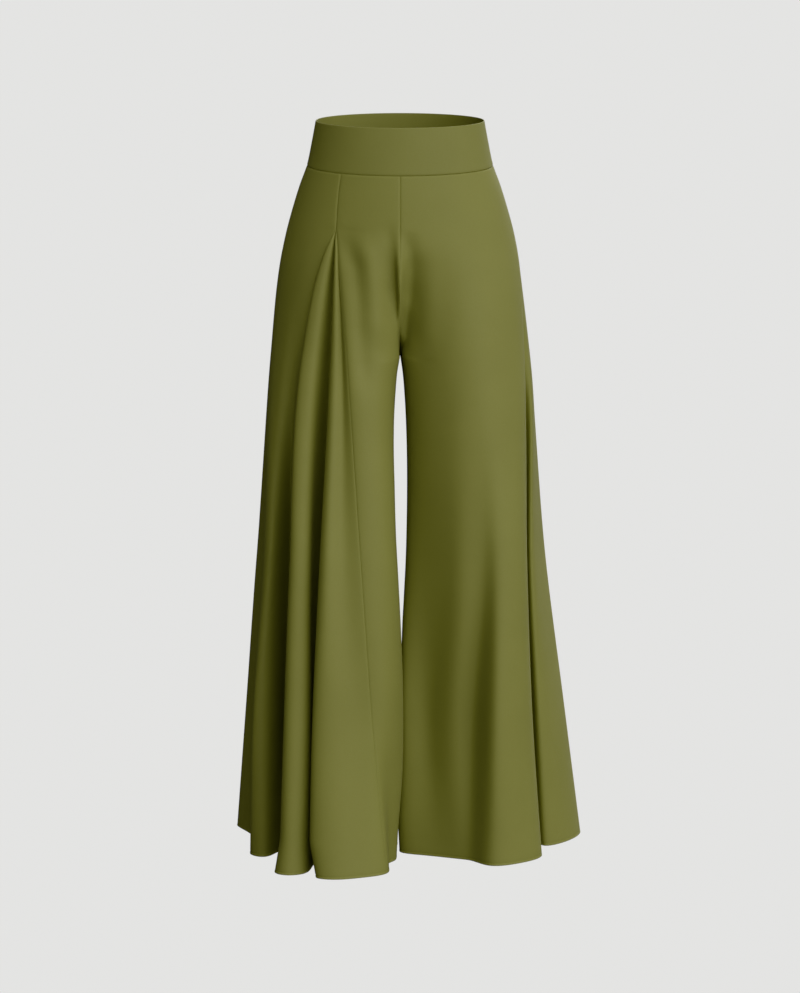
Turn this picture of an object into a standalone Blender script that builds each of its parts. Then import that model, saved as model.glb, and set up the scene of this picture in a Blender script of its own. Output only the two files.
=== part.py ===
"""High-waisted palazzo trousers with one godet, worn open as a hollow form.

Run with: blender --background --python part.py
Metres, +Z up, front towards -Y. The origin is the middle of the waist opening, where a wearer holds
the trousers up. The legs are named as the wearer's: the right leg lies at -X.

Each leg is a tube of level rings. A ring passes through the leg's fold lines, which are the crests and
hollows that run down the cloth. The panels are the stretches of that tube between seams.
"""

import math
from collections import namedtuple

import bpy
import numpy as np

MM = 0.001
CLOTH = 1.2 * MM  # wall of one layer of trouser cloth
BAND_CLOTH = 2.0 * MM  # wall of the faced waistband
SEAM_GAP = 0.4 * MM  # between neighbouring pieces
ANGLE_STEP = 7.5  # degrees between the waistband's columns
SPANS = 2  # columns between one fold line and the next

# Plain rings of the body, from the top edge down to the fullest part of the hip, in mm.
# level: height of the ring where y is 0; tilt: how much it rises for each mm towards the back.
Section = namedtuple("Section", "level half_width front back tilt")
BODY = [
    Section(1, 120.5, 90, 88, 0.12),
    Section(-31, 126.5, 95, 94, 0.13),
    Section(-63, 133.5, 100, 101, 0.14),
    Section(-90, 143.5, 105, 110, 0.13),
    Section(-125, 154.5, 110, 119, 0.11),
    Section(-160, 164, 114, 128, 0.08),
    Section(-200, 171.5, 118, 135, 0.05),
]
WAIST_TOP, BAND_MIDDLE, WAIST_SEAM = (section.level for section in BODY[:3])
HIP, CROTCH, KNEE, CALF, HEM = -142, -335, -650, -860, -1064
RISE_BEND = -205  # where the crotch seam starts to curve under, in mm
SIDE_ANGLE = 92  # place of the side seams on the plain rings, in degrees from the centre front

# Heights of the rings, in mm. They crowd where the crotch seam turns under.
RINGS = [-100, HIP, -153, -174, -205, -245, -283, -312, CROTCH]
RINGS += [-360, -405, -460, -530, -600, -680, -770, CALF, -935, -1005, HEM]
GODET_FLARE = 1.1  # how much wider than straight the godet's outer seam sets off from its point
GODET_FLAT, GODET_FULL = 16, 72  # below its point, how far down the godet stays flat and is full, in mm
SEAM_LEAN = 4.3  # how far out the front side seam of the right leg leans at the waist, in degrees
CORNER_LEVEL = -1015  # below it the corners of the godet's folds swing sideways, by this much at the hem
CORNER_SWING = {"godet_edge": -9, "godet_tuck": -9, "second_edge": 6, "second_tuck": 6}

# The fold lines of a leg, from the centre front round the outside to the centre back.
# hip_angle: place on the plain ring at the hip, 0 at the centre front and 180 at the centre back.
# The other columns are the line's place in plan at four heights, in mm:
# distance out from the middle of the body, and distance back from the side of the waist.
Line = namedtuple(
    "Line",
    "name hip_angle crotch_out crotch_back knee_out knee_back calf_out calf_back hem_out hem_back",
)
RIGHT_LEG = [
    Line("inseam", 0, 0, 0, 8, 5, 8, 9, -1, 12),
    Line("inner_front", 3, 4, -92, 1, -122, 0, -112, 3, -90),
    Line("strip", 14, 38, -125, 24, -156, 18, -158, 17, -110),
    Line("godet_ridge", 34.5, 75, -126, 53, -166, 38, -172, 18, -164),
    Line("godet_dip", 34.5, 82, -118, 80, -165, 66, -181, 52, -191),
    Line("godet_front", 34.5, 91, -121, 102, -173, 102, -189, 92, -203),
    Line("godet_edge", 34.5, 98, -114, 114, -163, 123, -180, 127, -192),
    Line("godet_tuck", 34.5, 94, -99, 109, -122, 117, -136, 121, -148),
    Line("godet_hollow", 34.5, 99, -80, 111, -72, 119, -84, 121, -106),
    Line("second_flank", 34.5, 109, -91, 125, -106, 126, -120, 128, -138),
    Line("second_corner", 34.5, 120, -105, 130, -142, 132, -160, 138, -169),
    Line("second_crest", 34.5, 131, -105, 145, -150, 152, -168, 160, -178),
    Line("second_edge", 34.5, 139, -99, 157, -140, 165, -156, 172, -162),
    Line("second_tuck", 34.5, 139, -92, 150, -104, 157, -112, 165, -116),
    Line("godet_seam", 34.5, 139, -86, 154, -58, 165, -60, 172, -70),
    Line("third_hollow", 48, 148, -74, 161, -15, 170, -10, 176, -32),
    Line("third_flank", 57, 162, -64, 178, -51, 190, -63, 195, -67),
    Line("third_crest", 67, 173, -50, 190, -62, 209, -66, 213, -61),
    Line("third_edge", 79, 183, -29, 199, -44, 214, -50, 219, -40),
    Line("side_seam", 92, 187, 2, 197, 8, 208, 4, 211, 10),
    Line("flare_front", 107, 187, 30, 207, 52, 218, 70, 231, 92),
    Line("flare_corner", 121, 178, 62, 212, 92, 230, 118, 247, 140),
    Line("back_hollow_1", 134, 160, 88, 186, 118, 204, 144, 221, 168),
    Line("back_crest_1", 144, 138, 110, 162, 146, 176, 178, 189, 208),
    Line("back_hollow_2", 153, 112, 124, 130, 142, 140, 165, 149, 187),
    Line("back_crest_2", 161, 84, 135, 98, 165, 104, 191, 110, 216),
    Line("back_hollow_3", 168, 57, 137, 62, 152, 66, 170, 70, 188),
    Line("back_crest_3", 174, 30, 130, 34, 150, 35, 172, 36, 194),
    Line("inner_back", 178, 2, 100, 5, 92, 5, 98, 5, 105),
    Line("inseam", 180, 0, 0, 8, 5, 8, 9, -1, 12),
]
LEFT_LEG = [
    Line("inseam", 0, 0, 0, 4, 5, 5, 15, 5, 25),
    Line("inner_front", 7, 6, -70, 4, -58, 3, -56, 1, -40),
    Line("inner_crest", 14, 29, -93, 33, -80, 28, -61, 30, -57),
    Line("front_hollow", 22, 55, -108, 67, -106, 48, -69, 57, -68),
    Line("middle_crest", 31, 84, -117, 91, -119, 81, -93, 86, -81),
    Line("front_flank", 41, 112, -115, 119, -120, 106, -93, 105, -93),
    Line("front_crest", 51, 136, -101, 139, -130, 134, -136, 131, -122),
    Line("front_side", 66, 161, -76, 168, -112, 171, -113, 176, -104),
    Line("front_edge", 81, 177, -47, 183, -68, 192, -64, 207, -56),
    Line("slot_front", 87, 178, -30, 171, 14, 182, 18, 197, 12),
    Line("side_seam", 92, 180, -16, 179, 22, 190, 26, 204, 21),
    Line("flare_front", 98, 185, -10, 190, -20, 201, -14, 213, 1),
    Line("flare_crest", 107, 188, 28, 209, 28, 231, 28, 250, 32),
    Line("flare_corner", 120, 181, 58, 215, 72, 243, 88, 271, 104),
    Line("back_hollow_1", 133, 162, 87, 192, 112, 218, 134, 245, 156),
    Line("back_crest_1", 144, 139, 110, 168, 146, 191, 175, 214, 202),
    Line("back_hollow_2", 153, 113, 124, 133, 141, 150, 163, 168, 184),
    Line("back_crest_2", 161, 84, 135, 100, 165, 112, 190, 125, 214),
    Line("back_hollow_3", 168, 57, 137, 63, 152, 71, 169, 80, 186),
    Line("back_crest_3", 174, 30, 130, 34, 150, 37, 172, 40, 193),
    Line("inner_back", 178, 3, 100, 4, 92, 5, 101, 5, 110),
    Line("inseam", 180, 0, 0, 4, 5, 5, 15, 5, 25),
]

# These leave the godet's point at once; the others leave the plain body gradually.
GODET_LINES = [line.name for line in RIGHT_LEG if line.hip_angle == 34.5]

# How far the inner thighs stand out from the middle, in mm, added to the inseam and its neighbours.
# The legs part below the crotch, and from the knee down the right leg's front laps over the left's.
Sway = namedtuple("Sway", "level right left")
INNER_SWAY = [
    Sway(-335, 0, 0),
    Sway(-360, 4.0, 3.4),
    Sway(-400, 7.0, 6.4),
    Sway(-455, 8.5, 8.5),
    Sway(-520, 7.5, 9.0),
    Sway(-585, 6.0, 8.0),
    Sway(-650, 3.0, 6.0),
    Sway(-720, 0.0, 2.5),
    Sway(-780, -2.0, 1.2),
    Sway(-940, -2.0, 1.2),
    Sway(-1020, 3.0, -1.5),
    Sway(-1064, 5.0, 0.5),
]

# The pieces of each leg, as the points of its ring that their two seams follow. The ring has the
# leg's lines in order, and one more point halfway along the inner thigh at the front and at the back.
Panel = namedtuple("Panel", "node first last top")
RIGHT_PANELS = [
    Panel("front_right_centre", 0, 4, WAIST_SEAM),
    Panel("front_right_godet", 4, 15, HIP),
    Panel("front_right_side", 15, 20, WAIST_SEAM),
    Panel("back_right", 20, 31, WAIST_SEAM),
]
LEFT_PANELS = [
    Panel("front_left", 0, 11, WAIST_SEAM),
    Panel("back_left", 11, 23, WAIST_SEAM),
]

OLIVE = (0.190, 0.190, 0.041, 1)
OLIVE_BAND = (0.184, 0.184, 0.041, 1)


def clear_scene():
    for thing in list(bpy.data.objects):
        bpy.data.objects.remove(thing)


def cloth_material(name, colour):
    """Matte crepe: rough and not metallic."""
    material = bpy.data.materials.new(name)
    material.use_nodes = True
    shader = material.node_tree.nodes["Principled BSDF"]
    shader.inputs["Base Color"].default_value = colour
    shader.inputs["Roughness"].default_value = 0.75
    shader.inputs["Metallic"].default_value = 0.0
    return material


def body_section(level):
    """The plain ring's measures at a height, between the rows of BODY."""
    levels = [section.level for section in reversed(BODY)]
    measures = [[section[k] for section in reversed(BODY)] for k in range(1, 5)]
    return [float(np.interp(level, levels, column)) for column in measures]


def body_point(level, angle):
    """Place in plan on the plain ring, (out, back) in mm."""
    half_width, front, back, _ = body_section(level)
    turn = math.radians(angle)
    depth = front if angle < 90 else back
    return np.array([half_width * math.sin(turn), -depth * math.cos(turn)])


def tilt_at(level):
    """How much a ring leans, which fades out from the waist to the crotch."""
    if level > BODY[-1].level:
        return body_section(level)[3]
    return BODY[-1].tilt * max(0.0, (level - CROTCH) / (BODY[-1].level - CROTCH))


def hermite(start, end, start_slope, end_slope, share):
    """Cubic between two values; the slopes are for the whole stretch."""
    rest = 1 - share
    return (
        start * (1 + 2 * share) * rest**2
        + end * (3 - 2 * share) * share**2
        + start_slope * share * rest**2
        - end_slope * rest * share**2
    )


def lean_at(angle, level, side):
    """How far round the right leg's plain rings are turned near its front side seam, in degrees."""
    if side > 0 or level <= HIP:
        return 0.0
    return SEAM_LEAN * (level - HIP) / (WAIST_SEAM - HIP) * np.interp(angle, (0, 34.5, 92), (0, 1, 0))


def sway_out(line, level, side):
    """How far out the godet's corner and the inner thigh's lines are moved at a height, in mm."""
    if line.name in CORNER_SWING and level < CORNER_LEVEL:
        return np.array([CORNER_SWING[line.name] * (CORNER_LEVEL - level) / (CORNER_LEVEL - HEM), 0.0])
    if line.name not in ("inseam", "inner_front", "inner_back") or level > CROTCH:
        return np.zeros(2)
    levels = [sway.level for sway in reversed(INNER_SWAY)]
    shifts = [sway.right if side < 0 else sway.left for sway in reversed(INNER_SWAY)]
    return np.array([np.interp(level, levels, shifts), 0.0])


def inseam_point(line, level):
    """The edge of a leg: centre seam, then the crotch curve, then the inseam, (out, back) in mm."""
    if level >= RISE_BEND:
        return body_point(level, line.hip_angle)
    if level > CROTCH:
        turned = (RISE_BEND - level) / (RISE_BEND - CROTCH)
        return body_point(RISE_BEND, line.hip_angle) * math.sqrt(1 - turned**2)
    outs = (line.hem_out, line.calf_out, line.knee_out, 0)
    backs = (line.hem_back, line.calf_back, line.knee_back, 0)
    return np.array([np.interp(level, (HEM, CALF, KNEE, CROTCH), places) for places in (outs, backs)])


def line_point(line, level, side):
    """Where a fold line is at a height, (out, back) in mm."""
    if line.name == "inseam":
        return inseam_point(line, level)
    if level >= HIP:
        return body_point(level, line.hip_angle + lean_at(line.hip_angle, level, side))
    levels = [HIP, CROTCH, KNEE, CALF, HEM]
    points = [
        body_point(HIP, line.hip_angle),
        np.array([line.crotch_out, line.crotch_back]),
        np.array([line.knee_out, line.knee_back]),
        np.array([line.calf_out, line.calf_back]),
        np.array([line.hem_out, line.hem_back]),
    ]
    straight = [(b - a) / (v - u) for a, b, u, v in zip(points, points[1:], levels, levels[1:])]
    above = (body_point(HIP, line.hip_angle) - body_point(HIP + 20, line.hip_angle)) / -20
    if line.name in GODET_LINES:
        above = straight[0] * (1 + GODET_FLARE * GODET_LINES.index(line.name) / (len(GODET_LINES) - 1))
    slopes = [above]
    slopes += [(a + b) / 2 for a, b in zip(straight, straight[1:])]
    slopes += [straight[-1]]
    k = next(i for i in range(4) if level >= levels[i + 1])
    length = levels[k + 1] - levels[k]
    share = (level - levels[k]) / length
    return hermite(points[k], points[k + 1], slopes[k] * length, slopes[k + 1] * length, share)


def through(points, spans):
    """Smooth curve in plan through the points, with that many columns from each to the next."""
    points = np.array(points)
    steps = np.maximum(np.sqrt(np.linalg.norm(np.diff(points, axis=0), axis=1)), 1e-3)[:, None]
    rates = np.diff(points, axis=0) / steps
    count = len(points)
    system = np.eye(count)
    system[0, 1] = system[-1, -2] = 1
    wanted = np.vstack([2 * rates[:1], np.zeros((count - 2, 2)), 2 * rates[-1:]])
    for i in range(1, count - 1):
        before, after = steps[i - 1, 0], steps[i, 0]
        system[i, i - 1 : i + 2] = after, 2 * (before + after), before
        wanted[i] = 3 * (after * rates[i - 1] + before * rates[i])
    slopes = np.linalg.solve(system, wanted)
    curve = [
        hermite(points[i], points[i + 1], slopes[i] * steps[i], slopes[i + 1] * steps[i], k / spans)
        for i in range(count - 1)
        for k in range(spans)
    ]
    return np.array([*curve, points[-1]])


def ring_points(lines, level, side):
    """The leg's lines at a height, with a point halfway along the inner thigh at front and back."""
    places = [line_point(line, level, side) + sway_out(line, level, side) for line in lines]
    front, back = (places[0] + places[1]) / 2, (places[-2] + places[-1]) / 2
    return [places[0], front, *places[1:-1], back, places[-1]]


def ring_curve(places, breaks):
    """A whole ring in plan, smooth but for the breaks where the godet is sewn in."""
    parts = [through(places[a : b + 1], SPANS)[:-1] for a, b in zip(breaks, breaks[1:])]
    return np.vstack([*parts, places[-1:]])


def leg_grid(lines, panels, side, levels):
    """Each panel's points, as {node: array of rows by columns by 3}, in metres."""
    grids = {panel.node: [] for panel in panels}
    sewn_in = [edge for panel in panels if panel.top == HIP for edge in (panel.first, panel.last)]
    for level in levels:
        ring = ring_curve(ring_points(lines, level, side), [0, *sewn_in, panels[-1].last])
        for panel in panels:
            if level < panel.top or (level == panel.top and panel.top == WAIST_SEAM):
                plan = ring[panel.first * SPANS : panel.last * SPANS + 1]
                if panel.top == HIP:
                    flat = np.linspace(plan[0], plan[-1], len(plan))
                    opened = np.interp(HIP - level, (GODET_FLAT, GODET_FULL), (0, 1))
                    plan = flat + (plan - flat) * opened
                heights = level + tilt_at(level) * plan[:, 1]
                grids[panel.node].append(np.column_stack([side * plan[:, 0], plan[:, 1], heights]) * MM)
    return {node: np.array(rows) for node, rows in grids.items()}


def unit(vectors):
    return vectors / np.linalg.norm(vectors, axis=-1, keepdims=True)


def outward(grid, side):
    """Outward normal at each point, made longer in a sharp fold so that the wall stays as thick."""
    steps = unit(np.diff(grid, axis=1))
    before = np.concatenate([steps[:, :1], steps], axis=1)
    after = np.concatenate([steps, steps[:, -1:]], axis=1)
    across = before + after
    down = np.gradient(grid, axis=0)
    evenness = np.linalg.norm(across, axis=-1, keepdims=True) / 2
    return unit(np.cross(down, across)) * side / np.maximum(evenness, 0.6)


def share_normals(normals, left_node, right_node, rows):
    """Neighbouring panels use one normal along their seam, so that their walls stay parallel."""
    left, right = normals[left_node][-rows:, -1], normals[right_node][-rows:, 0]
    middle = unit(left + right)
    normals[left_node][-rows:, -1] = middle
    normals[right_node][-rows:, 0] = middle


def clear_of_middle(grid, normals, side):
    """Keeps a leg's wall on its own side of the middle plane down to just below the crotch."""
    least = SEAM_GAP / 2 + np.abs(normals[..., 0]) * CLOTH / 2
    kept = side * np.maximum(side * grid[..., 0], least)
    grid[..., 0] = np.where(grid[..., 2] > CROTCH * MM - 0.1, kept, grid[..., 0])


def step_in(grid, gap):
    """Moves a grid's first and last columns off their seams, along the cloth."""
    inset = grid.copy()
    for edge, neighbour in ((0, 1), (-1, -2)):
        along = grid[:, neighbour] - grid[:, edge]
        length = np.linalg.norm(along, axis=1, keepdims=True)
        inset[:, edge] = grid[:, edge] + along / length * np.minimum(gap, 0.4 * length)
    return inset


def wall(name, grid, normals, thickness, material):
    """One closed solid: the grid's cloth with that thickness, half to each side."""
    rows, columns = grid.shape[:2]
    outer = (grid + normals * thickness / 2).reshape(-1, 3)
    inner = (grid - normals * thickness / 2).reshape(-1, 3)
    count = rows * columns

    def at(row, column):
        return row * columns + column

    faces = []
    for r in range(rows - 1):
        for c in range(columns - 1):
            a, b, d, e = at(r, c), at(r, c + 1), at(r + 1, c + 1), at(r + 1, c)
            falling = np.linalg.norm(grid[r, c] - grid[r + 1, c + 1])
            rising = np.linalg.norm(grid[r, c + 1] - grid[r + 1, c])
            halves = [[a, b, d], [a, d, e]] if falling <= rising else [[a, b, e], [b, d, e]]
            faces += halves + [[count + i for i in reversed(half)] for half in halves]
    rim = [at(0, c) for c in range(columns)] + [at(r, columns - 1) for r in range(1, rows)]
    rim += [at(rows - 1, c) for c in range(columns - 2, -1, -1)] + [at(r, 0) for r in range(rows - 2, 0, -1)]
    for a, b in zip(rim, rim[1:] + rim[:1]):
        faces.append([b, a, count + a, count + b])
    mesh = bpy.data.meshes.new(name)
    mesh.from_pydata(np.vstack([outer, inner]).tolist(), [], faces)
    mesh.materials.append(material)
    piece = bpy.data.objects.new(name, mesh)
    bpy.context.scene.collection.objects.link(piece)
    point_faces_out(mesh)
    mesh.shade_smooth()
    mesh.set_sharp_from_angle(angle=math.radians(50))
    return piece


def point_faces_out(mesh):
    """Turns every face round if the closed mesh encloses a negative volume."""
    mesh.calc_loop_triangles()
    corners = [[mesh.vertices[i].co for i in tri.vertices] for tri in mesh.loop_triangles]
    if sum(a.dot(b.cross(c)) for a, b, c in corners) < 0:
        mesh.flip_normals()


def make_leg(lines, panels, side, material):
    levels = [WAIST_SEAM, *RINGS]
    grids = leg_grid(lines, panels, side, levels)
    normals = {node: outward(grid, side) for node, grid in grids.items()}
    for before, after in zip(panels, panels[1:]):
        rows = min(len(grids[before.node]), len(grids[after.node]))
        share_normals(normals, before.node, after.node, rows)
    full = [panel for panel in panels if panel.top == WAIST_SEAM]
    for before, after in zip(full, full[1:]):
        if before.last != after.first:
            left, right = normals[before.node], normals[after.node]
            above = sum(level >= HIP for level in levels)
            middle = unit(left[:above, -1] + right[:above, 0])
            left[:above, -1] = right[:above, 0] = middle
    for panel in panels:
        grid = step_in(grids[panel.node], SEAM_GAP / 2)
        clear_of_middle(grid, normals[panel.node], side)
        if panel.top == WAIST_SEAM:
            grid[0, :, 2] -= SEAM_GAP
        wall(panel.node, grid, normals[panel.node], CLOTH, material)


def make_waistband(material):
    """Front and back bands, which meet at the side seams."""
    count = round(180 / ANGLE_STEP)
    for node, first, last in (
        ("waistband_front", -SIDE_ANGLE, SIDE_ANGLE),
        ("waistband_back", SIDE_ANGLE, 360 - SIDE_ANGLE),
    ):
        rows = []
        for level in (WAIST_TOP, BAND_MIDDLE, WAIST_SEAM):
            row = []
            for angle in np.linspace(first, last, count + 1):
                side = 1 if angle % 360 < 180 else -1
                out, back = body_point(level, min(angle % 360, 360 - angle % 360))
                row.append([side * out, back, level + tilt_at(level) * back])
            rows.append(row)
        grid = np.array(rows) * MM
        wall(node, step_in(grid, SEAM_GAP / 2), outward(grid, 1), BAND_CLOTH, material)


def main():
    clear_scene()
    cloth = cloth_material("olive_crepe", OLIVE)
    make_waistband(cloth_material("olive_band", OLIVE_BAND))
    make_leg(RIGHT_LEG, RIGHT_PANELS, -1, cloth)
    make_leg(LEFT_LEG, LEFT_PANELS, 1, cloth)


main()
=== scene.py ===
"""Palazzo trousers: the visible cloth, its materials, the studio and the camera.

Metres, +Z up, front towards -Y, with the frame's origin in the middle of the waist opening. The cloth
is lofted through the same fold lines as the solids, in far finer steps, with soft creases, rolled seams
and a turned hem added on top. Nothing is simulated: each fold and crease is placed one by one.
"""

import math
from collections import namedtuple

import bpy
import numpy as np
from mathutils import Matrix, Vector


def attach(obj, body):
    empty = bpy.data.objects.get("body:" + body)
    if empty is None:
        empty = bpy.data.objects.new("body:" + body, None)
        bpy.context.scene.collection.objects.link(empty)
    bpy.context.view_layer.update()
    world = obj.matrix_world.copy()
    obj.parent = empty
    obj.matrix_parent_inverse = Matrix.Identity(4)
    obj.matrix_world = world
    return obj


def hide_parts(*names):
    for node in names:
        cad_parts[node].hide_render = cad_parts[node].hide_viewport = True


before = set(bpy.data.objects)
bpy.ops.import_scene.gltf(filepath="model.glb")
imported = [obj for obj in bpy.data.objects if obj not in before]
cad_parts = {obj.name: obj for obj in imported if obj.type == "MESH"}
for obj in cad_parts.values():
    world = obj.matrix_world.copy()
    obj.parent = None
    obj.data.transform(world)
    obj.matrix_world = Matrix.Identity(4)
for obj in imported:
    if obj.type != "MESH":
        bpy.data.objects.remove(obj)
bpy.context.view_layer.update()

MM = 0.001
CLOTH = 1.0 * MM  # thickness of the trouser cloth
BAND_HALF = 0.7  # mm from the middle of the faced band to either face
SPANS = 8  # columns between one fold line and the next
ROW_STEP = 6.5  # mm between rings
SEAM_COLUMNS = (0.0, 0.5, 1.1, 1.9, 3.0)  # mm from a seam
SEAM_ROLL = 3.2  # mm over which the cloth rolls in to a seam
SEAM_DEPTH = 0.9  # mm
SEAM_GAPS = (0.3, 0.8, 1.5, 2.4)  # mm from the waist seam to the first rings on either side
FLAT_SEAMS = {  # (node, edge): share of the depth that is left towards the hem
    ("front_right_centre", -1): 0.7,
    ("front_right_godet", 0): 0.7,
    ("front_right_godet", -1): 0.15,
    ("front_right_side", 0): 0.15,
}
FLATTEST = 0.15  # share of the depth that is left in a flat seam at FLAT_FROM
FLAT_FROM, FLAT_TO = -200, -500  # mm
HEM_TURN = 3.2  # mm of narrow rolled hem
HEM_PROUD, STITCH_DEPTH, STITCH_WIDTH = 0.2, 0.35, 0.8  # mm

# ---------------------------------------------------------------- the cut: rings and fold lines, in mm
Section = namedtuple("Section", "level half_width front back tilt")
BODY = [
    Section(1, 120.5, 90, 88, 0.12),
    Section(-31, 126.5, 95, 94, 0.13),
    Section(-63, 133.5, 100, 101, 0.14),
    Section(-90, 143.5, 105, 110, 0.13),
    Section(-125, 154.5, 110, 119, 0.11),
    Section(-160, 164, 114, 128, 0.08),
    Section(-200, 171.5, 118, 135, 0.05),
]
WAIST_TOP, WAIST_SEAM = BODY[0].level, BODY[2].level
HIP, CROTCH, KNEE, CALF, HEM = -142, -335, -650, -860, -1064
HIP_BLEND = 60  # mm over which the rings leave the plain ellipse of the hip
RISE_BEND = -205  # where the crotch seam starts to curve under
SIDE_ANGLE = 92  # place of the side seams on the plain rings, in degrees from the centre front
GODET_OPENS = 10  # mm below its point over which the godet's folds open
GODET_FLARE = 1.1  # how much wider than straight the outer seam sets off from the point
SEAM_LEAN = 4.3  # degrees that the front side seam leans out at the waist
CORNER_LEVEL = -1015  # below it the corners of the godet's folds swing sideways
CORNER_SWING = {"godet_edge": -9, "godet_tuck": -9, "second_edge": 6, "second_tuck": 6}

# A fold line's place on the plain ring at the hip, in degrees, then its place in plan at four heights:
# distance out from the middle of the body, and distance back from the side of the waist.
Line = namedtuple(
    "Line",
    "name hip_angle crotch_out crotch_back knee_out knee_back calf_out calf_back hem_out hem_back",
)
RIGHT_LEG = [
    Line("inseam", 0, 0, 0, 8, 5, 8, 9, -1, 12),
    Line("inner_front", 3, 4, -92, 1, -122, 0, -112, 3, -90),
    Line("strip", 14, 38, -125, 24, -156, 18, -158, 17, -110),
    Line("godet_ridge", 34.5, 75, -126, 53, -166, 38, -172, 18, -164),
    Line("godet_dip", 34.5, 82, -118, 80, -165, 66, -181, 52, -191),
    Line("godet_front", 34.5, 91, -121, 102, -173, 102, -189, 92, -203),
    Line("godet_edge", 34.5, 98, -114, 114, -163, 123, -180, 127, -192),
    Line("godet_tuck", 34.5, 94, -99, 109, -122, 117, -136, 121, -148),
    Line("godet_hollow", 34.5, 99, -80, 111, -72, 119, -84, 121, -106),
    Line("second_flank", 34.5, 109, -91, 125, -106, 126, -120, 128, -138),
    Line("second_corner", 34.5, 120, -105, 130, -142, 132, -160, 138, -169),
    Line("second_crest", 34.5, 131, -105, 145, -150, 152, -168, 160, -178),
    Line("second_edge", 34.5, 139, -99, 157, -140, 165, -156, 172, -162),
    Line("second_tuck", 34.5, 139, -92, 150, -104, 157, -112, 165, -116),
    Line("godet_seam", 34.5, 139, -86, 154, -58, 165, -60, 172, -70),
    Line("third_hollow", 48, 148, -74, 161, -15, 170, -10, 176, -32),
    Line("third_flank", 57, 162, -64, 178, -51, 190, -63, 195, -67),
    Line("third_crest", 67, 173, -50, 190, -62, 209, -66, 213, -61),
    Line("third_edge", 79, 183, -29, 199, -44, 214, -50, 219, -40),
    Line("side_seam", 92, 187, 2, 197, 8, 208, 4, 211, 10),
    Line("flare_front", 107, 187, 30, 207, 52, 218, 70, 231, 92),
    Line("flare_corner", 121, 178, 62, 212, 92, 230, 118, 247, 140),
    Line("back_hollow_1", 134, 160, 88, 186, 118, 204, 144, 221, 168),
    Line("back_crest_1", 144, 138, 110, 162, 146, 176, 178, 189, 208),
    Line("back_hollow_2", 153, 112, 124, 130, 142, 140, 165, 149, 187),
    Line("back_crest_2", 161, 84, 135, 98, 165, 104, 191, 110, 216),
    Line("back_hollow_3", 168, 57, 137, 62, 152, 66, 170, 70, 188),
    Line("back_crest_3", 174, 30, 130, 34, 150, 35, 172, 36, 194),
    Line("inner_back", 178, 2, 100, 5, 92, 5, 98, 5, 105),
    Line("inseam", 180, 0, 0, 8, 5, 8, 9, -1, 12),
]
LEFT_LEG = [
    Line("inseam", 0, 0, 0, 4, 5, 5, 15, 5, 25),
    Line("inner_front", 7, 6, -70, 4, -58, 3, -56, 1, -40),
    Line("inner_crest", 14, 29, -93, 33, -80, 28, -61, 30, -57),
    Line("front_hollow", 22, 55, -108, 67, -106, 48, -69, 57, -68),
    Line("middle_crest", 31, 84, -117, 91, -119, 81, -93, 86, -81),
    Line("front_flank", 41, 112, -115, 119, -120, 106, -93, 105, -93),
    Line("front_crest", 51, 136, -101, 139, -130, 134, -136, 131, -122),
    Line("front_side", 66, 161, -76, 168, -112, 171, -113, 176, -104),
    Line("front_edge", 81, 177, -47, 183, -68, 192, -64, 207, -56),
    Line("slot_front", 87, 178, -30, 171, 14, 182, 18, 197, 12),
    Line("side_seam", 92, 180, -16, 179, 22, 190, 26, 204, 21),
    Line("flare_front", 98, 185, -10, 190, -20, 201, -14, 213, 1),
    Line("flare_crest", 107, 188, 28, 209, 28, 231, 28, 250, 32),
    Line("flare_corner", 120, 181, 58, 215, 72, 243, 88, 271, 104),
    Line("back_hollow_1", 133, 162, 87, 192, 112, 218, 134, 245, 156),
    Line("back_crest_1", 144, 139, 110, 168, 146, 191, 175, 214, 202),
    Line("back_hollow_2", 153, 113, 124, 133, 141, 150, 163, 168, 184),
    Line("back_crest_2", 161, 84, 135, 100, 165, 112, 190, 125, 214),
    Line("back_hollow_3", 168, 57, 137, 63, 152, 71, 169, 80, 186),
    Line("back_crest_3", 174, 30, 130, 34, 150, 37, 172, 40, 193),
    Line("inner_back", 178, 3, 100, 4, 92, 5, 101, 5, 110),
    Line("inseam", 180, 0, 0, 4, 5, 5, 15, 5, 25),
]
GODET_LINES = [line.name for line in RIGHT_LEG if line.hip_angle == 34.5]

# How far out the inner thigh's lines are moved at a height, on each leg.
Sway = namedtuple("Sway", "level right left")
INNER_SWAY = [
    Sway(-335, 0, 0),
    Sway(-360, 4.0, 3.4),
    Sway(-400, 7.0, 6.4),
    Sway(-455, 8.5, 8.5),
    Sway(-520, 7.5, 9.0),
    Sway(-585, 6.0, 8.0),
    Sway(-650, 3.0, 6.0),
    Sway(-720, 0.0, 2.5),
    Sway(-780, -2.0, 1.2),
    Sway(-940, -2.0, 1.2),
    Sway(-1020, 3.0, -1.5),
    Sway(-1064, 5.0, 0.5),
]

# A panel lies between two points of its leg's rings: the lines, and one more point beside each inseam.
Panel = namedtuple("Panel", "node first last top")
RIGHT_PANELS = [
    Panel("front_right_centre", 0, 4, WAIST_SEAM),
    Panel("front_right_godet", 4, 15, HIP),
    Panel("front_right_side", 15, 20, WAIST_SEAM),
    Panel("back_right", 20, 31, WAIST_SEAM),
]
LEFT_PANELS = [
    Panel("front_left", 0, 11, WAIST_SEAM),
    Panel("back_left", 11, 23, WAIST_SEAM),
]

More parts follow.
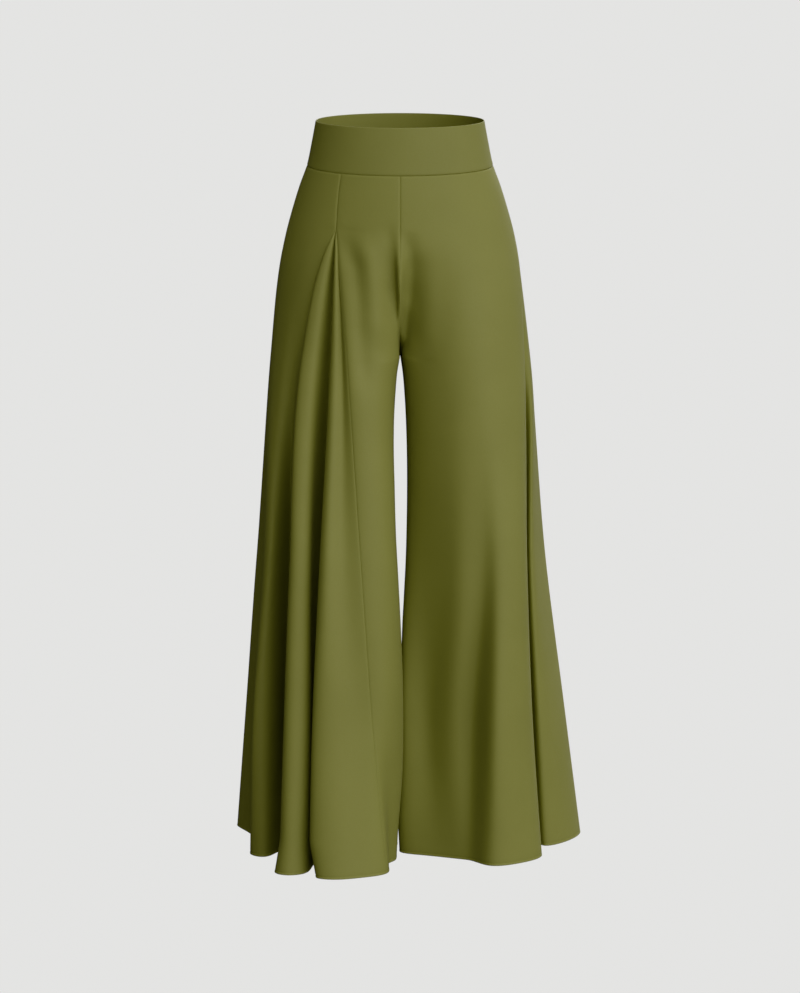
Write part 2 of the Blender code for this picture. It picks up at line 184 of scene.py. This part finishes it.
# Soft creases on the front, as seen from it: places (x, z) in mm, width and height over the cloth.
Crease = namedtuple("Crease", "width height places")
FRONT_CREASES = [
    Crease(
        13,
        -4.5,
        [(-86, -145), (-72, -180), (-62, -207), (-58, -244), (-56, -290), (-51, -335), (-44, -400)],
    ),
    Crease(14, 4.5, [(-54, -152), (-48, -180), (-43, -207), (-38, -244), (-33, -290), (-28, -325)]),
    Crease(10, -2.4, [(-15, -135), (-15, -190), (-14, -235), (-10, -265)]),
    Crease(7, 2.0, [(-1, -150), (-1, -262)]),
    Crease(7, -2.5, [(6, -250), (6, -290), (5, -335)]),
    Crease(12, -4.0, [(13, -150), (13, -200), (10, -240), (7, -270)]),
]


# ---------------------------------------------------------------- curves
def hermite(start, end, start_slope, end_slope, share):
    """Cubic between two values; the slopes are for the whole stretch."""
    rest = 1 - share
    return (
        start * (1 + 2 * share) * rest**2
        + end * (3 - 2 * share) * share**2
        + start_slope * share * rest**2
        - end_slope * rest * share**2
    )


def glide(level, rows, field):
    """A table's column at a height, on a smooth curve through its rows."""
    levels = np.array([row.level for row in rows], float)
    values = np.array([getattr(row, field) for row in rows], float)
    level = min(max(level, levels.min()), levels.max())
    slopes = np.gradient(values, levels)
    k = int(np.clip(np.searchsorted(-levels, -level, side="right") - 1, 0, len(levels) - 2))
    length = levels[k + 1] - levels[k]
    share = (level - levels[k]) / length
    return hermite(values[k], values[k + 1], slopes[k] * length, slopes[k + 1] * length, share)


def body_point(level, angle):
    """Place in plan on the plain ring, (out, back) in mm."""
    turn = math.radians(angle)
    depth = glide(level, BODY, "front") if angle < 90 else glide(level, BODY, "back")
    return np.array([glide(level, BODY, "half_width") * math.sin(turn), -depth * math.cos(turn)])


def tilt_at(level):
    """How much a ring leans, which fades out from the waist to the crotch."""
    if level > BODY[-1].level:
        return glide(level, BODY, "tilt")
    share = max(0.0, (level - CROTCH) / (BODY[-1].level - CROTCH))
    return BODY[-1].tilt * share


def lean_at(angle, level, side):
    """How far round the right leg's plain rings are turned near its front side seam, in degrees."""
    if side > 0 or level <= HIP:
        return 0.0
    return SEAM_LEAN * (level - HIP) / (WAIST_SEAM - HIP) * np.interp(angle, (0, 34.5, 92), (0, 1, 0))


def sway_out(line, level, side):
    """How far out the godet's corners and the inner thigh's lines are moved at a height, in mm."""
    if line.name in CORNER_SWING and level < CORNER_LEVEL:
        return np.array([CORNER_SWING[line.name] * (CORNER_LEVEL - level) / (CORNER_LEVEL - HEM), 0.0])
    if line.name not in ("inseam", "inner_front", "inner_back") or level > CROTCH:
        return np.zeros(2)
    return np.array([glide(level, INNER_SWAY, "right" if side < 0 else "left"), 0.0])


def inseam_point(line, level):
    """The edge of a leg: centre seam, then the crotch curve, then the inseam, (out, back) in mm."""
    if level >= RISE_BEND:
        return body_point(level, line.hip_angle)
    if level > CROTCH:
        turned = (RISE_BEND - level) / (RISE_BEND - CROTCH)
        return body_point(RISE_BEND, line.hip_angle) * math.sqrt(1 - turned**2)
    outs = (line.hem_out, line.calf_out, line.knee_out, 0)
    backs = (line.hem_back, line.calf_back, line.knee_back, 0)
    return np.array([np.interp(level, (HEM, CALF, KNEE, CROTCH), places) for places in (outs, backs)])


def line_point(line, level):
    """Where a fold line is at a height, (out, back) in mm."""
    if line.name == "inseam":
        return inseam_point(line, level)
    if level >= HIP:
        return body_point(level, line.hip_angle)
    levels = [HIP, CROTCH, KNEE, CALF, HEM]
    points = [
        body_point(HIP, line.hip_angle),
        np.array([line.crotch_out, line.crotch_back]),
        np.array([line.knee_out, line.knee_back]),
        np.array([line.calf_out, line.calf_back]),
        np.array([line.hem_out, line.hem_back]),
    ]
    straight = [(b - a) / (v - u) for a, b, u, v in zip(points, points[1:], levels, levels[1:])]
    above = (body_point(HIP, line.hip_angle) - body_point(HIP + 20, line.hip_angle)) / -20
    if line.name in GODET_LINES:
        above = straight[0] * (1 + GODET_FLARE * GODET_LINES.index(line.name) / (len(GODET_LINES) - 1))
    slopes = [above]
    slopes += [(a + b) / 2 for a, b in zip(straight, straight[1:])]
    slopes += [straight[-1]]
    k = next((i for i in range(4) if level >= levels[i + 1]), 3)
    length = levels[k + 1] - levels[k]
    share = (level - levels[k]) / length
    return hermite(points[k], points[k + 1], slopes[k] * length, slopes[k + 1] * length, share)


def through(points, spans):
    """Smooth curve in plan through the points, with that many columns from each to the next."""
    points = np.array(points)
    steps = np.maximum(np.sqrt(np.linalg.norm(np.diff(points, axis=0), axis=1)), 1e-3)[:, None]
    rates = np.diff(points, axis=0) / steps
    count = len(points)
    system = np.eye(count)
    system[0, 1] = system[-1, -2] = 1
    wanted = np.vstack([2 * rates[:1], np.zeros((count - 2, 2)), 2 * rates[-1:]])
    for i in range(1, count - 1):
        before, after = steps[i - 1, 0], steps[i, 0]
        system[i, i - 1 : i + 2] = after, 2 * (before + after), before
        wanted[i] = 3 * (after * rates[i - 1] + before * rates[i])
    slopes = np.linalg.solve(system, wanted)
    curve = [
        hermite(points[i], points[i + 1], slopes[i] * steps[i], slopes[i + 1] * steps[i], k / spans)
        for i in range(count - 1)
        for k in range(spans)
    ]
    return np.array([*curve, points[-1]])


def ring_points(lines, level, side):
    """The leg's lines at a height, with a point halfway along the inner thigh at front and back."""
    places = [line_point(line, level) + sway_out(line, level, side) for line in lines]
    front, back = (places[0] + places[1]) / 2, (places[-2] + places[-1]) / 2
    return [places[0], front, *places[1:-1], back, places[-1]]


def ring_levels():
    """Heights of the rings: even, but crowding where the crotch seam turns under and at the hem."""
    rise = np.linspace(WAIST_SEAM - 3.5, RISE_BEND, round((WAIST_SEAM - RISE_BEND) / ROW_STEP))
    turn = RISE_BEND + (CROTCH - RISE_BEND) * np.sin(np.linspace(0, math.pi / 2, 28)[1:])
    leg = np.linspace(CROTCH, HEM + HEM_TURN + 2.5, round((CROTCH - HEM) / ROW_STEP))[1:]
    seam = [WAIST_SEAM - gap for gap in SEAM_GAPS]
    hem = [HEM + HEM_TURN + 1, HEM + HEM_TURN, HEM + HEM_TURN - 1, HEM + 0.8, HEM]
    apex = [HIP - 1.2, HIP - 3]
    return np.array(sorted({*seam, *rise, *turn, *leg, *hem, *apex}, reverse=True))


# ---------------------------------------------------------------- grids
def unit(vectors):
    return vectors / np.maximum(np.linalg.norm(vectors, axis=-1, keepdims=True), 1e-12)


def packed(curve):
    """The curve's points drawn in a little, with extra ones close to the seam at each end."""
    lengths = np.concatenate([[0], np.cumsum(np.linalg.norm(np.diff(curve, axis=0), axis=1))])
    total = lengths[-1]
    near = np.array(SEAM_COLUMNS) * min(1, 0.12 * total / SEAM_COLUMNS[-1])
    inner = near[-1] + (total - 2 * near[-1]) * lengths[1:-1] / max(total, 1e-9)
    places = np.concatenate([near, inner, (total - near)[::-1]])
    return np.column_stack([np.interp(places, lengths, curve[:, k]) for k in (0, 1)])


def hip_ring(lines, level, side):
    """The plain ellipse of the body, with as many columns as the fold lines give."""
    angles = [line.hip_angle for line in lines]
    angles = [angles[0], (angles[0] + angles[1]) / 2, *angles[1:-1], (angles[-2] + 180) / 2, 180]
    fine = np.interp(np.arange((len(angles) - 1) * SPANS + 1) / SPANS, range(len(angles)), angles)
    return np.array([body_point(level, angle + lean_at(angle, level, side)) for angle in fine])


def blend_shares(lines, level, count):
    """How far each column has left the plain ellipse: at once in the godet, gently beside it."""
    share = min(1, (HIP - level) / HIP_BLEND)
    share = share * share * (3 - 2 * share)
    godet = [k + 1 for k, line in enumerate(lines) if line.name in GODET_LINES]
    if len(godet) < 2:
        return np.full(count, share)
    columns = np.arange(count) / SPANS
    beyond = np.clip(np.maximum(godet[0] - columns, columns - godet[-1]), 0, 1)
    return share + (1 - share) * (1 - beyond * beyond * (3 - 2 * beyond))


def leg_rings(lines, panels, side):
    """Each panel's points in mm, as {node: rows by columns by 3}, and each row's level."""
    grids = {panel.node: [] for panel in panels}
    levels = {panel.node: [] for panel in panels}
    for level in ring_levels():
        ring = hip_ring(lines, level, side)
        if level < HIP:
            share = blend_shares(lines, level, len(ring))[:, None]
            ring = ring + (through(ring_points(lines, level, side), SPANS) - ring) * share
        for panel in panels:
            if level > panel.top or (level == panel.top and panel.top == HIP):
                continue
            plan = ring[panel.first * SPANS : panel.last * SPANS + 1]
            if panel.top == HIP:
                flat = np.linspace(plan[0], plan[-1], len(plan))
                plan = flat + (plan - flat) * min(1, (HIP - level) / GODET_OPENS)
            plan = packed(plan)
            heights = level + tilt_at(level) * plan[:, 1]
            grids[panel.node].append(np.column_stack([side * plan[:, 0], plan[:, 1], heights]))
            levels[panel.node].append(level)
    return {n: np.array(rows) for n, rows in grids.items()}, {n: np.array(v) for n, v in levels.items()}


def outward(grid, side):
    """Outward normal at each point."""
    steps = unit(np.diff(grid, axis=1))
    before = np.concatenate([steps[:, :1], steps], axis=1)
    after = np.concatenate([steps, steps[:, -1:]], axis=1)
    down = np.gradient(grid, axis=0)
    return unit(np.cross(down, before + after)) * side


def weld_normals(normals, levels, panels):
    """Panels that meet at a seam share one normal along it."""
    nodes = [panel.node for panel in panels]
    for left, right in zip(nodes, nodes[1:]):
        share_rows(normals, levels, left, right)
    if len(nodes) == 4:
        share_rows(normals, levels, nodes[0], nodes[2], above=HIP)
    first, last = normals[nodes[0]], normals[nodes[-1]]
    low = levels[nodes[0]] <= CROTCH
    middle = unit(first[low, 0] + last[low, -1])
    first[low, 0] = last[low, -1] = middle
    for edge, grid in ((0, first), (-1, last)):
        grid[~low, edge, 0] = 0
        grid[~low, edge] = unit(grid[~low, edge])


def share_rows(normals, levels, left, right, above=None):
    """Averages the last column of one panel with the first of the next, on the rows both have."""
    pairs = [
        (i, int(np.argmin(abs(levels[right] - level))))
        for i, level in enumerate(levels[left])
        if np.min(abs(levels[right] - level)) < 1e-6 and (above is None or level >= above)
    ]
    for i, j in pairs:
        middle = unit(normals[left][i, -1] + normals[right][j, 0])
        normals[left][i, -1] = normals[right][j, 0] = middle


def seam_roll(grid, levels, node):
    """How far each point rolls in towards the seams at the panel's sides, in mm."""
    lengths = np.linalg.norm(np.diff(grid, axis=1), axis=2)
    from_first = np.concatenate([np.zeros((len(grid), 1)), np.cumsum(lengths, axis=1)], axis=1)
    from_last = from_first[:, -1:] - from_first
    roll = 0
    for near, edge in ((from_first, 0), (from_last, -1)):
        share = np.ones(len(levels))
        if (node, edge) in FLAT_SEAMS:
            low = FLAT_SEAMS[node, edge]
            share = np.interp(levels, (FLAT_TO, FLAT_FROM, HIP), (low, FLATTEST, 1))
        roll = roll + SEAM_DEPTH * share[:, None] * np.clip(1 - near / SEAM_ROLL, 0, 1) ** 2
    return roll


def crease_heights(grid, normals, creases):
    """Sum of the soft creases at each point of the front, in mm."""
    heights = np.zeros(grid.shape[:2])
    facing = np.clip(-normals[..., 1] * 3, 0, 1)
    for crease in creases:
        path = np.array(crease.places, float)
        best = np.full(grid.shape[:2], 1e9)
        along = np.zeros(grid.shape[:2])
        pieces = np.linalg.norm(np.diff(path, axis=0), axis=1)
        starts = np.concatenate([[0], np.cumsum(pieces)])
        for a, b, start, length in zip(path, path[1:], starts, pieces):
            offset = grid[..., (0, 2)] - a
            share = np.clip(offset @ (b - a) / length**2, 0, 1)
            far = np.linalg.norm(offset - share[..., None] * (b - a), axis=-1)
            closer = far < best
            best = np.where(closer, far, best)
            along = np.where(closer, (start + share * length) / starts[-1], along)
        fade = np.clip(np.minimum(along, 1 - along) * 4, 0, 1)
        fade = fade**2 * (3 - 2 * fade)
        heights += crease.height * fade * np.exp(-((best / crease.width) ** 2)) * facing
    return heights


def hem_roll(levels):
    """The turned hem stands proud by a cloth, with a dimple along its stitching."""
    above = levels - HEM
    stitch = np.exp(-(((above - HEM_TURN) / STITCH_WIDTH) ** 2))
    return (np.where(above < HEM_TURN, HEM_PROUD, 0.0) - STITCH_DEPTH * stitch)[:, None]


# ---------------------------------------------------------------- meshes
def mesh_from_grid(name, grid, material, thickness):
    """A cloth sheet with a UV map in metres, thickened both ways."""
    rows, columns = grid.shape[:2]
    faces = [
        (r * columns + c, (r + 1) * columns + c, (r + 1) * columns + c + 1, r * columns + c + 1)
        for r in range(rows - 1)
        for c in range(columns - 1)
    ]
    mesh = bpy.data.meshes.new(name)
    mesh.from_pydata((grid.reshape(-1, 3) * MM).tolist(), [], faces)
    mesh.materials.append(material)
    across = np.linalg.norm(np.diff(grid, axis=1), axis=2).mean(axis=0)
    down = np.linalg.norm(np.diff(grid, axis=0), axis=2).mean(axis=1)
    u = np.concatenate([[0], np.cumsum(across)]) * MM
    v = -np.concatenate([[0], np.cumsum(down)]) * MM
    layer = mesh.uv_layers.new(name="cloth")
    corners = np.array([loop.vertex_index for loop in mesh.loops])
    layer.data.foreach_set("uv", np.column_stack([u[corners % columns], v[corners // columns]]).ravel())
    piece = bpy.data.objects.new(name, mesh)
    bpy.context.scene.collection.objects.link(piece)
    if thickness:
        solid = piece.modifiers.new("thickness", "SOLIDIFY")
        solid.thickness = thickness
        solid.offset = 0
        solid.use_even_offset = False
    mesh.shade_smooth()
    return piece


def declare(piece, node):
    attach(piece, "root")
    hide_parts(node)


def make_leg(lines, panels, side, material):
    grids, levels = leg_rings(lines, panels, side)
    normals = {node: outward(grid, side) for node, grid in grids.items()}
    weld_normals(normals, levels, panels)
    for panel in panels:
        node = panel.node
        grid, normal = grids[node], normals[node]
        lift = crease_heights(grid, normal, FRONT_CREASES)
        lift = lift - seam_roll(grid, levels[node], node) + hem_roll(levels[node])
        lift[levels[node] > WAIST_SEAM - SEAM_ROLL] -= waist_roll(levels[node])[:, None]
        cloth = grid + normal * lift[..., None]
        piece = mesh_from_grid("cloth_" + node, cloth if side > 0 else cloth[:, ::-1], material, CLOTH)
        declare(piece, node)


def waist_roll(levels):
    """How far the rings just under the waist seam roll in towards it, in mm."""
    near = WAIST_SEAM - levels[levels > WAIST_SEAM - SEAM_ROLL]
    return SEAM_DEPTH * np.clip(1 - near / SEAM_ROLL, 0, 1) ** 2


OUTER_RINGS = (*SEAM_GAPS, 4, 8, 14, 22, 30, 38, 46, 53, 58, 61, 63)  # mm above the waist seam
INNER_RINGS = (63, 58, 46, 30, 14, 4, 0.3)


def band_profile():
    """The band's section as (height, distance out), up the outside and down the inside, in mm."""
    profile = []
    for gap in OUTER_RINGS:
        roll = SEAM_DEPTH * max(0, 1 - gap / SEAM_ROLL) ** 2
        profile.append((WAIST_SEAM + gap, BAND_HALF - roll))
    for degrees in range(20, 180, 20):
        turn = math.radians(degrees)
        profile.append((WAIST_TOP - BAND_HALF + 0.8 * math.sin(turn), BAND_HALF * math.cos(turn)))
    return profile + [(WAIST_SEAM + gap, -BAND_HALF) for gap in INNER_RINGS]


def make_waistband(material):
    """Front and back bands: an outer and an inner face over a rounded top edge."""
    for node, first, last in (
        ("waistband_front", -SIDE_ANGLE, SIDE_ANGLE),
        ("waistband_back", SIDE_ANGLE, 360 - SIDE_ANGLE),
    ):
        angles = np.linspace(first, last, 150)
        ends = np.array([0, 0.25, 0.6, 1.0])
        angles = np.concatenate([first + ends, angles[2:-2], last - ends[::-1]])
        rows = []
        for level, proud in band_profile():
            row = []
            for angle in angles:
                around = angle % 360
                side = 1 if around < 180 else -1
                out, back = body_point(level, min(around, 360 - around))
                slope = np.array([out / 120**2, back / 90**2])
                slope /= np.linalg.norm(slope)
                edge = min(abs(angle - first), abs(last - angle)) * 2.2
                push = proud - SEAM_DEPTH * max(0, 1 - edge / SEAM_ROLL) ** 2 * (1 if proud > 0 else 0)
                out, back = out + slope[0] * push, back + slope[1] * push
                row.append((side * out, back, level + tilt_at(level) * back))
            rows.append(row)
        grid = np.array(rows)
        piece = mesh_from_grid("cloth_" + node, grid, material, 0)
        declare(piece, node)


# ---------------------------------------------------------------- materials
def node_tree(material):
    material.use_nodes = True
    tree = material.node_tree
    return tree, tree.nodes["Principled BSDF"]


THREAD = 0.00052  # m from one thread of the weave to the next


def crepe(name, colour, shade):
    """Matte crepe: fine pebbled weave, soft sheen, slightly uneven dye."""
    material = bpy.data.materials.new(name)
    tree, shader = node_tree(material)
    new, link = tree.nodes.new, tree.links.new
    shader.inputs["Metallic"].default_value = 0
    shader.inputs["Specular IOR Level"].default_value = 0.18
    shader.inputs["Sheen Weight"].default_value = 0.04
    shader.inputs["Sheen Roughness"].default_value = 0.45
    shader.inputs["Sheen Tint"].default_value = (0.75, 0.72, 0.4, 1)
    place = new("ShaderNodeTexCoord")
    cloth = new("ShaderNodeUVMap")
    cloth.uv_map = "cloth"

    def noise(scale, detail, source=None):
        texture = new("ShaderNodeTexNoise")
        texture.inputs["Scale"].default_value = scale
        texture.inputs["Detail"].default_value = detail
        link(source or place.outputs["Object"], texture.inputs["Vector"])
        return texture.outputs["Fac"]

    def ranged(value, low, high):
        node = new("ShaderNodeMapRange")
        node.inputs["From Min"].default_value = 0.25
        node.inputs["From Max"].default_value = 0.75
        node.inputs["To Min"].default_value = low
        node.inputs["To Max"].default_value = high
        link(value, node.inputs["Value"])
        return node.outputs["Result"]

    def maths(kind, a, b):
        node = new("ShaderNodeMath")
        node.operation = kind
        for socket, value in zip(node.inputs, (a, b)):
            if isinstance(value, (int, float)):
                socket.default_value = value
            else:
                link(value, socket)
        return node.outputs[0]

    mix = new("ShaderNodeMix")
    mix.data_type = "RGBA"
    mix.inputs["A"].default_value = (*[c * 0.93 for c in colour], 1)
    mix.inputs["B"].default_value = (*[c * 1.07 for c in colour], 1)
    blotch = ranged(noise(9, 3), 0.2, 0.8)
    pebble = ranged(noise(900, 2), -0.5, 0.5)
    link(maths("ADD", blotch, maths("MULTIPLY", pebble, shade)), mix.inputs["Factor"])
    link(mix.outputs["Result"], shader.inputs["Base Color"])
    link(ranged(noise(500, 2), 0.66, 0.8), shader.inputs["Roughness"])

    def threads(direction):
        wave = new("ShaderNodeTexWave")
        wave.bands_direction = direction
        wave.inputs["Scale"].default_value = 2 / (THREAD * 2 * math.pi) * 0.5
        wave.inputs["Distortion"].default_value = 1.5
        wave.inputs["Detail"].default_value = 1
        wave.inputs["Detail Scale"].default_value = 2
        link(cloth.outputs["UV"], wave.inputs["Vector"])
        return wave.outputs["Fac"]

    weave = maths("MULTIPLY", maths("ADD", threads("X"), threads("Y")), 0.5)
    height = maths("ADD", maths("MULTIPLY", weave, 0.4), noise(1300, 2))
    bump = new("ShaderNodeBump")
    bump.inputs["Strength"].default_value = 0.35
    bump.inputs["Distance"].default_value = 0.00012
    link(height, bump.inputs["Height"])
    soft = new("ShaderNodeBump")
    soft.inputs["Strength"].default_value = 0.25
    soft.inputs["Distance"].default_value = 0.0012
    link(noise(38, 2), soft.inputs["Height"])
    link(soft.outputs["Normal"], bump.inputs["Normal"])
    link(bump.outputs["Normal"], shader.inputs["Normal"])
    return material


# ---------------------------------------------------------------- studio
BACKGROUND = (0.775, 0.775, 0.762)
AMBIENT_LOW, AMBIENT_HIGH = 0.015, 0.75  # light from below and from above
AMBIENT_RISE = (0.4, -0.35, 0.85)  # the way in which it grows
FLOOR_LEVEL = -1.45
FLOOR_REACH = 600.0
# (linear blue, what it is shown as), between nothing and full
BLUE_TONES = [
    (0.0065, 0.0020),
    (0.0161, 0.0079),
    (0.0276, 0.0212),
    (0.0427, 0.0425),
    (0.0511, 0.0570),
    (0.15, 0.16),
]


def make_world():
    """An even pale backdrop, which lights the cloth as a soft room does, more from above."""
    world = bpy.data.worlds.new("studio")
    bpy.context.scene.world = world
    world.use_nodes = True
    tree = world.node_tree
    tree.nodes.clear()
    new, link = tree.nodes.new, tree.links.new
    out = new("ShaderNodeOutputWorld")
    seen, lit, mix = new("ShaderNodeBackground"), new("ShaderNodeBackground"), new("ShaderNodeMixShader")
    seen.inputs["Color"].default_value = (*BACKGROUND, 1)
    path = new("ShaderNodeLightPath")
    link(path.outputs["Is Camera Ray"], mix.inputs["Fac"])
    link(lit.outputs[0], mix.inputs[1])
    link(seen.outputs[0], mix.inputs[2])
    link(mix.outputs[0], out.inputs["Surface"])
    direction = new("ShaderNodeTexCoord")
    dot = new("ShaderNodeVectorMath")
    dot.operation = "DOT_PRODUCT"
    link(direction.outputs["Generated"], dot.inputs[0])
    dot.inputs[1].default_value = AMBIENT_RISE
    strength = new("ShaderNodeMapRange")
    strength.inputs["From Min"].default_value = -0.1
    strength.inputs["From Max"].default_value = 1.0
    strength.inputs["To Min"].default_value = AMBIENT_LOW
    strength.inputs["To Max"].default_value = AMBIENT_HIGH
    link(dot.outputs["Value"], strength.inputs["Value"])
    lit.inputs["Color"].default_value = (1.0, 0.99, 0.97, 1)
    link(strength.outputs["Result"], lit.inputs["Strength"])


def make_floor():
    """A wide plain floor of the backdrop's tone, far enough down to take no shadow."""
    mesh = bpy.data.meshes.new("floor")
    signs = ((-1, -1), (1, -1), (1, 1), (-1, 1))
    corners = [(x * FLOOR_REACH, y * FLOOR_REACH, FLOOR_LEVEL) for x, y in signs]
    mesh.from_pydata(corners, [], [(0, 1, 2, 3)])
    floor = bpy.data.objects.new("floor", mesh)
    bpy.context.scene.collection.objects.link(floor)
    pale = bpy.data.materials.new("floor_pale")
    _, shader = node_tree(pale)
    shader.inputs["Base Color"].default_value = (0.0, 0.0, 0.0, 1)
    shader.inputs["Roughness"].default_value = 1.0
    shader.inputs["Specular IOR Level"].default_value = 0.0
    shader.inputs["Emission Color"].default_value = (*BACKGROUND, 1)
    shader.inputs["Emission Strength"].default_value = 1.0
    mesh.materials.append(pale)
    floor.visible_diffuse = floor.visible_glossy = floor.visible_shadow = False


def add_sun(name, energy, width, from_place):
    """A soft sun as wide as that many degrees, shining from that direction."""
    light = bpy.data.lights.new(name, "SUN")
    light.energy = energy
    light.angle = math.radians(width)
    lamp = bpy.data.objects.new(name, light)
    bpy.context.scene.collection.objects.link(lamp)
    lamp.rotation_euler = Vector(from_place).to_track_quat("Z", "Y").to_euler()


CAMERA_DISTANCE = 4.4  # m in front of the waist, and level with it
LOOKS_DOWN = 7.0415  # degrees
SENSOR = 36
FOCAL_LENGTH = 110.2115  # mm


def make_camera():
    scene = bpy.context.scene
    camera = bpy.data.cameras.new("camera")
    camera.sensor_width = SENSOR
    camera.lens = FOCAL_LENGTH
    camera.clip_end = 2000
    holder = bpy.data.objects.new("camera", camera)
    scene.collection.objects.link(holder)
    holder.location = (0, -CAMERA_DISTANCE, 0)
    holder.rotation_euler = (math.pi / 2 - math.radians(LOOKS_DOWN), 0, 0)
    scene.camera = holder
    scene.view_settings.view_transform = "Standard"
    grade(scene.view_settings)


def grade(settings):
    """Deep olive shadows: blue drops away faster than the rest in dark cloth, and light tones stay."""
    settings.use_curve_mapping = True
    curve = settings.curve_mapping.curves[2]
    for given, shown in BLUE_TONES:
        curve.points.new(given, shown)
    for point in curve.points:
        point.handle_type = "VECTOR"
    settings.curve_mapping.update()


OLIVE = (0.190, 0.190, 0.041)
OLIVE_BAND = (0.184, 0.184, 0.041)


def main():
    olive_crepe = crepe("olive_crepe", OLIVE, 0.5)
    make_leg(RIGHT_LEG, RIGHT_PANELS, -1, olive_crepe)
    make_leg(LEFT_LEG, LEFT_PANELS, 1, olive_crepe)
    make_waistband(crepe("olive_band", OLIVE_BAND, 0.5))
    make_world()
    make_floor()
    add_sun("key", 2.0, 72, (0.472, -0.756, 0.454))
    add_sun("back", 1.7, 36, (0.30, 0.86, 0.42))
    make_camera()


main()
